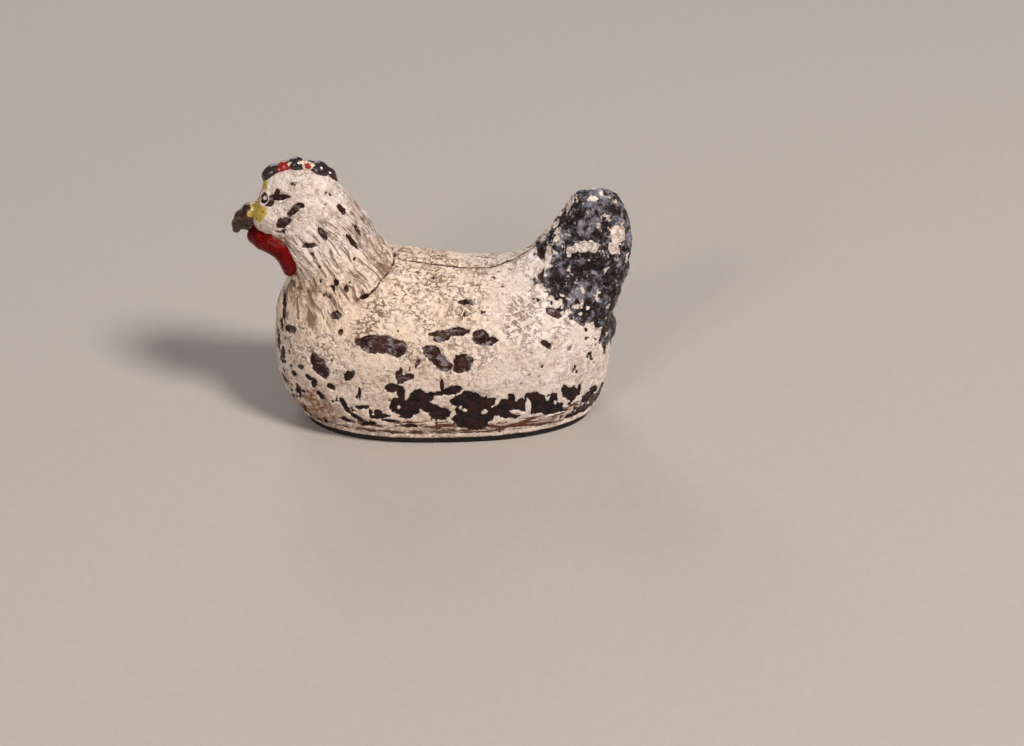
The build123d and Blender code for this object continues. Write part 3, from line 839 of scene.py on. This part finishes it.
class Graph:
    """A node material with short names for the nodes used here. Sizes are in millimetres."""

    def __init__(self, name):
        self.material = bpy.data.materials.new(name)
        self.material.use_nodes = True
        tree = self.material.node_tree
        self.nodes, self.links = tree.nodes, tree.links
        self.shader = self.nodes["Principled BSDF"]
        self.mm = self.vector("SCALE", self.node("TexCoord").outputs["Object"], 1 / MM)

    def put(self, value, socket):
        if isinstance(value, bpy.types.NodeSocket):
            self.links.new(value, socket)
        else:
            socket.default_value = value

    def node(self, kind, inputs={}, **settings):
        node = self.nodes.new("ShaderNode" + kind)
        for key, value in settings.items():
            setattr(node, key, value)
        for key, value in inputs.items():
            self.put(value, node.inputs[key])
        return node

    def vector(self, operation, a, b):
        second = "Scale" if operation == "SCALE" else 1
        return self.node("VectorMath", {0: a, second: b}, operation=operation).outputs[0]

    def math(self, operation, a, b=0.0):
        return self.node("Math", {0: a, 1: b}, operation=operation).outputs[0]

    times, plus = partialmethod(math, "MULTIPLY"), partialmethod(math, "ADD")
    minus, highest = partialmethod(math, "SUBTRACT"), partialmethod(math, "MAXIMUM")

    def value(self, name):
        return self.node("Attribute", attribute_name=name).outputs["Fac"]

    def squeezed(self, *factors):
        """The place, multiplied along each axis."""
        return self.vector("MULTIPLY", self.mm, factors)

    def step(self, value, low, high, out_low=0.0, out_high=1.0):
        """A smooth step from one value to another."""
        inputs = {"Value": value, "From Min": low, "From Max": high}
        inputs |= {"To Min": out_low, "To Max": out_high}
        return self.node("MapRange", inputs, interpolation_type="SMOOTHSTEP").outputs["Result"]

    def noise(self, size, detail=2.0, rough=0.5, at=None, output="Fac"):
        inputs = {"Vector": at or self.mm, "Scale": 1 / size, "Detail": detail, "Roughness": rough}
        return self.node("TexNoise", inputs).outputs[output]

    def blotch(self, low, high, size, detail=2.0, rough=0.5, at=None, out=(0, 1)):
        """A noise as soft-edged patches."""
        return self.step(self.noise(size, detail, rough, at), low, high, *out)

    def thin(self, size, stretch, width):
        """Thin wandering lines, where a noise passes through its middle value."""
        noise = self.noise(size, 3, 0.6, self.squeezed(*stretch))
        return self.step(self.math("ABSOLUTE", self.minus(noise, 0.5)), width, 0.0)

    def fray(self, size, amount):
        """A ragged offset for the edges of a zone."""
        return self.times(self.minus(self.noise(size, 3, 0.6), 0.5), amount)

    def zone(self, name, fray, low=-0.015, high=0.015):
        """1 inside a zone of paint or wear, 0 outside it."""
        return self.step(self.plus(self.value(name), fray), low, high)

    def cell_edge(self, size, at):
        inputs = {"Vector": at, "Scale": 1 / size}
        node = self.node("TexVoronoi", inputs, feature="DISTANCE_TO_EDGE")
        return self.times(node.outputs["Distance"], size)

    def mix(self, share, a, b):
        inputs = {0: share, MIX_A: a, MIX_B: b}
        return self.node("Mix", inputs, data_type="RGBA").outputs[MIX_RESULT]

    def layered(self, colour, layers):
        """A colour with others laid over it in turn, each with its share."""
        for share, above in layers:
            colour = self.mix(share, colour, above)
        return colour

    def finish(self, colour, roughness, height, depth, specular=0.5):
        """Joins colour, roughness and a bump of the given depth to the shader."""
        bump = self.node("Bump", {"Distance": depth * MM, "Height": height}).outputs["Normal"]
        for value, key in ((bump, "Normal"), (colour, "Base Color"), (roughness, "Roughness")):
            self.put(value, self.shader.inputs[key])
        self.shader.inputs["Specular IOR Level"].default_value = specular
        return self.material


SCREEN_GAMMA = 2.2


def rgb(red, green, blue):
    """A screen colour from 0 to 255 as the shader wants it."""
    return tuple((c / 255) ** SCREEN_GAMMA for c in (red, green, blue)) + (1,)


CREAM, PALE_CREAM, WARM_CREAM = rgb(230, 210, 196), rgb(246, 231, 220), rgb(240, 212, 186)
# The third colour on the next line is painted shade for the wrinkles.
SOILED, FRECKLE, WRINKLE_SHADE = rgb(190, 160, 140), rgb(150, 120, 98), rgb(172, 136, 116)
# The first colour on the next line is brown painted shade with dirt.
SHADE_AND_STAIN, GROOVE, CRACK, SEAM = rgb(112, 78, 50), rgb(112, 78, 54), rgb(112, 78, 56), rgb(74, 46, 34)
DARK_SMEAR, BROWN_SMEAR, RUST_BROWN = rgb(62, 32, 24), rgb(120, 76, 48), rgb(128, 80, 42)
PALE_YELLOW, DEEP_YELLOW = rgb(214, 186, 96), rgb(196, 158, 40)
# The second colour on the next line, the tail's grey, is partly a painted reflection.
TAIL_BLACK, TAIL_SMOKE_AND_SHEEN, TAIL_BROWN = rgb(20, 15, 18), rgb(128, 121, 131), rgb(40, 25, 23)
# The first colour on the next line is a painted highlight.
TAIL_PAINTED_HIGHLIGHT, TAIL_FLECK = rgb(184, 180, 188), rgb(186, 178, 186)
# Bare metal in painted shade for low down, and its lit copy for higher up, with a painted
# highlight colour.
DARK_SHADED_TARNISH, BROWN_SHADED_TARNISH = rgb(18, 8, 7), rgb(58, 30, 26)
LIT_DARK_METAL, LIT_BROWN_METAL, METAL_PAINTED_HIGHLIGHT = rgb(50, 24, 17), rgb(80, 50, 42), rgb(150, 139, 140)


def cracks(g):
    """Old paint's fine broken cracks: 0 on sound paint, 1 in a crack."""
    wander = g.vector("SUBTRACT", g.noise(0.3, 2, 0.6, output="Color"), (0.5, 0.5, 0.5))
    at = g.vector("ADD", g.squeezed(1, 0.75, 1.25), g.vector("SCALE", wander, 0.36))
    long = g.times(g.step(g.cell_edge(0.42, at), 0.055, 0.02), g.blotch(0.47, 0.55, 0.34))
    elsewhere = g.blotch(0.52, 0.6, 0.26, at=g.vector("ADD", g.mm, (9, 4, 2)))
    short = g.times(g.step(g.cell_edge(0.25, at), 0.04, 0.015), elsewhere)
    crack = g.highest(long, g.times(short, 0.75))
    # Fewer on the neck and the crown, and in patches elsewhere.
    crack = g.times(crack, g.step(g.value("neck"), 0.1, 0.9, 1, 0.45))
    patches = g.blotch(0.38, 0.6, 1.8, out=(0.25, 1))
    crack = g.times(crack, g.times(g.value("crackle"), patches))
    return g.times(crack, g.step(g.value("crown"), 0, 1, 1, 0.5))


def feather_lines(g):
    """Thin dark lines that run along the neck feathers."""
    up = g.node("SeparateXYZ", {0: g.mm}).outputs["Z"]
    across = g.times(g.value("across"), 4.2)
    at = g.node("CombineXYZ", {"X": across, "Y": g.times(up, 0.8)}).outputs[0]
    lines = g.blotch(0.53, 0.6, 1.0, 3, 0.6, at)
    return g.times(lines, g.step(g.value("neck"), 0.1, 0.6))


def cream_paint(g, fray, wide, mottle, wrinkle, lines, crack):
    """Cream paint: soiled and given painted shade low down, yellow in the face, dark in its
    cracks, with painted shade in its grooves and wrinkles.
    """
    strokes = g.blotch(0.44, 0.5, 0.5, 3, 0.6, g.squeezed(1, 0.3, 2.4))
    smear_brown = g.mix(g.noise(0.4, 2), DARK_SMEAR, BROWN_SMEAR)
    yellow = g.mix(g.noise(0.3, 3), PALE_YELLOW, DEEP_YELLOW)
    shade_and_stain = g.times(g.value("shade_and_stain"), g.blotch(0.25, 0.6, 0.3, 3, 0.6))
    rust = g.times(g.zone("rust", fray, -0.3, 0.2), g.blotch(0.4, 0.6, 0.35, 3, 0.6))
    return g.layered(g.mix(g.step(mottle, 0.35, 0.7), CREAM, PALE_CREAM), [
        (g.times(g.value("warm"), g.blotch(0.2, 0.6, 1.3, out=(0.3, 1))), WARM_CREAM),
        (g.blotch(0.5, 0.72, 1.7, 3, 0.6, out=(0, 0.5)), SOILED),
        (g.times(g.blotch(0.63, 0.7, 0.13, 2, 0.6), 0.45), FRECKLE),
        # Painted shade in the hollows of the wrinkle bump.
        (g.step(wrinkle, 0.46, 0.33, 0, 0.7), WRINKLE_SHADE),
        # Painted shade in grooves, crease and open seam, and painted shade with dirt low down.
        (g.times(shade_and_stain, 0.85), SHADE_AND_STAIN),
        (g.times(g.zone("smear", wide, -0.1, 0.02), strokes), smear_brown),
        (rust, RUST_BROWN),
        (g.zone("yellow", fray, -0.05, 0.04), yellow),
        (g.times(lines, 0.8), GROOVE),
        (g.times(crack, 0.85), CRACK),
        (g.step(g.value("line"), 0.45, 0.8), SEAM),
    ])


def tail_paint(g, smoke_and_sheen):
    """Black paint gone smoky grey, the grey partly a painted reflection, with brown in it, fine
    painted highlight lines and flecks.
    """
    # Thin pale lines in the grey: painted highlight on the tail's relief.
    painted_glints = g.times(g.thin(0.6, (1, 1, 0.7), 0.035), g.step(smoke_and_sheen, 0.46, 0.56))
    return g.layered(g.mix(g.step(smoke_and_sheen, 0.4, 0.66), TAIL_BLACK, TAIL_SMOKE_AND_SHEEN), [
        (g.times(painted_glints, 0.75), TAIL_PAINTED_HIGHLIGHT),
        (g.blotch(0.48, 0.6, 0.6, 3), TAIL_BROWN),
        (g.blotch(0.635, 0.69, 0.2, 3, 0.7, g.squeezed(1, 1, 0.5)), TAIL_FLECK),
    ])


def bare_metal(g):
    """Dark tarnished metal low down, darkened as painted shade, and browner, lighter metal higher
    up as its lit copy, with painted highlight streaks.
    """
    shaded_tarnish = g.mix(g.blotch(0.35, 0.7, 0.5, 3, 0.6), DARK_SHADED_TARNISH, BROWN_SHADED_TARNISH)
    metal = g.mix(g.blotch(0.4, 0.65, 0.8, 4, 0.6), LIT_DARK_METAL, LIT_BROWN_METAL)
    # Thin pale streaks: a painted highlight of the lamps on the bare metal.
    painted_light = g.times(g.thin(1.1, (1, 0.6, 1.5), 0.06), g.blotch(0.45, 0.6, 0.7))
    metal = g.mix(g.times(painted_light, 0.85), metal, METAL_PAINTED_HIGHLIGHT)
    # Painted light by height: the shaded copy low down, the lit copy higher up.
    return g.mix(g.value("painted_light"), shaded_tarnish, metal)


def hen_paint():
    """Cracked cream paint with a black tail, and dark metal where the paint is gone."""
    g = Graph("hen_paint")
    fray, wide = g.fray(0.16, 0.09), g.fray(0.16, 0.3)
    mottle = g.noise(0.9, 3, 0.6)
    wrinkle = g.noise(0.38, 4, 0.62, g.squeezed(1, 1.3, 0.8))
    # Grey that is partly painted reflection, made lighter on the plume ridges as a painted
    # highlight.
    smoke_and_sheen = g.plus(g.noise(0.65, 4, 0.68), g.times(g.value("plume"), 0.13))
    lines, crack = feather_lines(g), cracks(g)
    not_cream = g.minus(1, g.zone("cream", fray, -0.02, 0.02))
    tail = g.times(g.zone("black", wide, -0.02, 0.02), not_cream)
    bare = g.zone("bare", fray)

    cream = cream_paint(g, fray, wide, mottle, wrinkle, lines, crack)
    colour = g.mix(bare, g.mix(tail, cream, tail_paint(g, smoke_and_sheen)), bare_metal(g))
    dull = g.mix(tail, g.step(mottle, 0.2, 0.8, 0.45, 0.62), g.step(smoke_and_sheen, 0.3, 0.7, 0.2, 0.38))
    roughness = g.mix(bare, dull, g.blotch(0.3, 0.7, 0.25, 3, out=(0.14, 0.36)))
    grain = g.plus(g.times(g.noise(0.11, 3, 0.6), 0.5), g.times(g.noise(0.3, 2), 0.6))
    grain = g.times(grain, g.plus(g.step(bare, 0, 1, 1, 0.35), g.times(tail, 1.2)))
    grain = g.plus(grain, g.times(wrinkle, 0.8))
    height = g.minus(grain, g.times(g.highest(crack, lines), 0.9))
    return g.finish(colour, roughness, height, 0.09, specular=0.32)


def comb_paint():
    """Glossy black enamel with red spots, worn to cream."""
    g = Graph("comb_paint")
    fray = g.fray(0.14, 0.12)
    black = g.mix(g.noise(0.4, 3, 0.6), rgb(26, 18, 18), rgb(66, 48, 44))
    red = g.mix(g.noise(0.25, 3), rgb(120, 14, 12), rgb(176, 40, 30))
    cream = g.mix(g.blotch(0.4, 0.65, 0.2, 3), rgb(232, 212, 190), rgb(170, 140, 120))
    colour = g.layered(black, [
        (g.zone("cream", fray, -0.02, 0.02), cream), (g.zone("red", fray, -0.02, 0.02), red),
    ])
    roughness = g.blotch(0.3, 0.7, 0.3, 3, out=(0.16, 0.3))
    return g.finish(colour, roughness, g.noise(0.2, 3, 0.6), 0.016, specular=0.7)


def beak_paint():
    """Dark glossy horn with a yellow root and pale nostrils."""
    g = Graph("beak_paint")
    horn = g.mix(g.blotch(0.4, 0.75, 0.5, 4, 0.65), rgb(52, 30, 22), rgb(118, 86, 68))
    yellow = g.mix(g.noise(0.3, 3), rgb(208, 178, 92), rgb(180, 142, 40))
    colour = g.layered(horn, [
        (g.times(g.value("mouth"), 0.8), rgb(18, 12, 12)),
        (g.zone("root", g.fray(0.2, 0.3), -0.03, 0.03), yellow),
        (g.step(g.value("pale"), 0.35, 0.6), rgb(222, 206, 160)),
    ])
    roughness = g.blotch(0.3, 0.7, 0.35, 3, out=(0.14, 0.3))
    return g.finish(colour, roughness, g.noise(0.2, 3, 0.6), 0.03)


def wattle_paint():
    """Deep red, with painted shade in its hollows and a few pale specks as painted highlight."""
    g = Graph("wattle_paint")
    colour = g.layered(g.mix(g.blotch(0.3, 0.7, 0.6, 3, 0.6), rgb(86, 2, 2), rgb(118, 5, 5)), [
        # Painted shade where the relief dips.
        (g.step(g.value("low"), 0.25, 0.6), rgb(78, 6, 8)),
        # Pale specks: painted highlight.
        (g.blotch(0.7, 0.76, 0.15, 2, 0.6), rgb(206, 120, 104)),
    ])
    roughness = g.blotch(0.3, 0.7, 0.3, 3, out=(0.25, 0.4))
    return g.finish(colour, roughness, g.noise(0.18, 3, 0.6), 0.04, specular=0.15)


def solder_metal():
    """Dull dark solder, nearly black in its hollows."""
    g = Graph("solder_metal")
    dark = g.mix(g.blotch(0.35, 0.65, 0.4, 4, 0.6), rgb(30, 22, 22), rgb(84, 72, 70))
    dark = g.mix(g.step(g.value("low"), 0.1, 0.5), dark, rgb(18, 13, 12))
    roughness = g.blotch(0.3, 0.7, 0.3, 3, out=(0.22, 0.45))
    return g.finish(dark, roughness, g.noise(0.2, 3, 0.6), 0.04)


def plate_metal_and_shade():
    """Blackened iron with spots of rust, near black so that it also stands in as painted shade
    under the rim.
    """
    g = Graph("plate_metal_and_shade")
    # Near black: the iron's own colour together with painted shade under the rim.
    iron = g.mix(g.blotch(0.35, 0.65, 1.2, 4, 0.65), rgb(12, 10, 10), rgb(36, 29, 27))
    iron = g.mix(g.blotch(0.62, 0.72, 0.5, 4, 0.7), iron, rgb(84, 48, 30))
    roughness = g.blotch(0.3, 0.7, 0.4, 3, out=(0.4, 0.7))
    return g.finish(iron, roughness, g.noise(0.25, 4, 0.65), 0.05)


def card_paper():
    g = Graph("card")
    paper = g.mix(g.noise(0.6, 3, 0.6), rgb(178, 168, 160), rgb(186, 176, 168))
    return g.finish(paper, 0.85, g.noise(0.2, 3, 0.6), 0.02, specular=0.2)


# ---- the hen

# Each small piece: name, field, its box, spacing, detail, material, slot and CAD node.
SMALL_PIECES = [
    ("comb_knobs", comb_field, (-1, -12, 15.5), (1, -6.8, 17.8), HARD_STEP,
     comb_detail, comb_paint, "comb", "comb"),
    ("hooked_beak", beak_field, (-1.1, -13.8, 12.1), (1.1, -10.6, 14.8), HARD_STEP,
     beak_detail, beak_paint, "beak", "beak"),
    ("throat_wattle", wattle_field, (-2.5, -12.8, 9.8), (2.5, -9.1, 13.2), SOFT_STEP,
     wattle_detail, wattle_paint, "wattle", "wattle"),
    ("solder_bead", solder_field, (-0.9, 9.0, 3.9), (0.9, 10.6, 6.9), SOFT_STEP,
     solder_detail, solder_metal, "solder", "seam_solder"),
]


def add(piece, slot, *nodes):
    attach(piece, "root")
    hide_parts(*nodes)


def build_hen():
    paint = hen_paint()
    surface = half_surface(hen_field, SKIN_STEP)
    lining = half_surface(lining_field, LINING_STEP)
    add(make_skin("left_skin", surface, lining, True, paint), "shell", "left_half")
    add(make_skin("right_skin", surface, lining, False, paint), "shell", "right_half")
    for name, field, low, high, step, detail, material, slot, node in SMALL_PIECES:
        add(make_blob(name, field, low, high, step, detail, material()), slot, node)
    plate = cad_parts["base_plate"]
    plate.data.materials.clear()
    plate.data.materials.append(plate_metal_and_shade())


# ---- the stage, in metres

FLOOR_HALF = 2.0
LIGHT_TARGET = (0, 0, 0.007)
# Name, place, size, watts, colour.
LIGHTS = [
    ("key", (0.16, 0.2, 0.33), 0.1, 1.45, (1, 0.96, 0.93)),
    ("fill", (0.3, -0.16, 0.2), 0.12, 0.4, (1, 0.97, 0.95)),
    ("rim", (-0.3, -0.1, 0.2), 0.2, 0.35, (0.94, 0.97, 1)),
]
STUDIO_COLOUR, STUDIO_STRENGTH = (0.86, 0.88, 0.9, 1), 0.2
CAMERA_PLACE = (0.1276, 0.0037, 0.0789)
SENSOR_WIDTH, FOCAL_LENGTH, NEAREST_SEEN = 36, 81.9, 0.005


def build_floor():
    half = FLOOR_HALF
    corners = [(-half, -half, 0), (half, -half, 0), (half, half, 0), (-half, half, 0)]
    mesh = bpy.data.meshes.new("floor")
    mesh.from_pydata(corners, [], [(0, 1, 2, 3)])
    mesh.materials.append(card_paper())
    floor = in_scene("floor", mesh)


def soft_light(name, place, size, watts, colour):
    """A round lamp turned to the hen."""
    lamp = bpy.data.lights.new(name, "AREA")
    lamp.shape = "DISK"
    lamp.size = size
    lamp.energy = watts
    lamp.color = colour
    holder = in_scene(name, lamp)
    holder.location = place
    way = [t - p for t, p in zip(LIGHT_TARGET, place)]
    flat = (way[0] ** 2 + way[1] ** 2) ** 0.5
    holder.rotation_euler = (atan2(flat, -way[2]), 0, atan2(-way[0], way[1]))


def build_lights():
    for light in LIGHTS:
        soft_light(*light)
    world = bpy.data.worlds.new("studio")
    world.use_nodes = True
    background = world.node_tree.nodes["Background"]
    background.inputs["Color"].default_value = STUDIO_COLOUR
    background.inputs["Strength"].default_value = STUDIO_STRENGTH
    bpy.context.scene.world = world
    bpy.context.scene.view_settings.view_transform = "Standard"


def build_camera():
    """Looks down on the left flank, with the hen above and left of the middle."""
    lens = bpy.data.cameras.new("camera")
    lens.sensor_width = SENSOR_WIDTH
    lens.lens = FOCAL_LENGTH
    lens.clip_start = NEAREST_SEEN
    camera = in_scene("camera", lens)
    camera.location = CAMERA_PLACE
    camera.rotation_euler = (pi / 2 - LOOK_DOWN, 0, pi / 2)
    bpy.context.scene.camera = camera


build_hen()
build_floor()
build_lights()
build_camera()
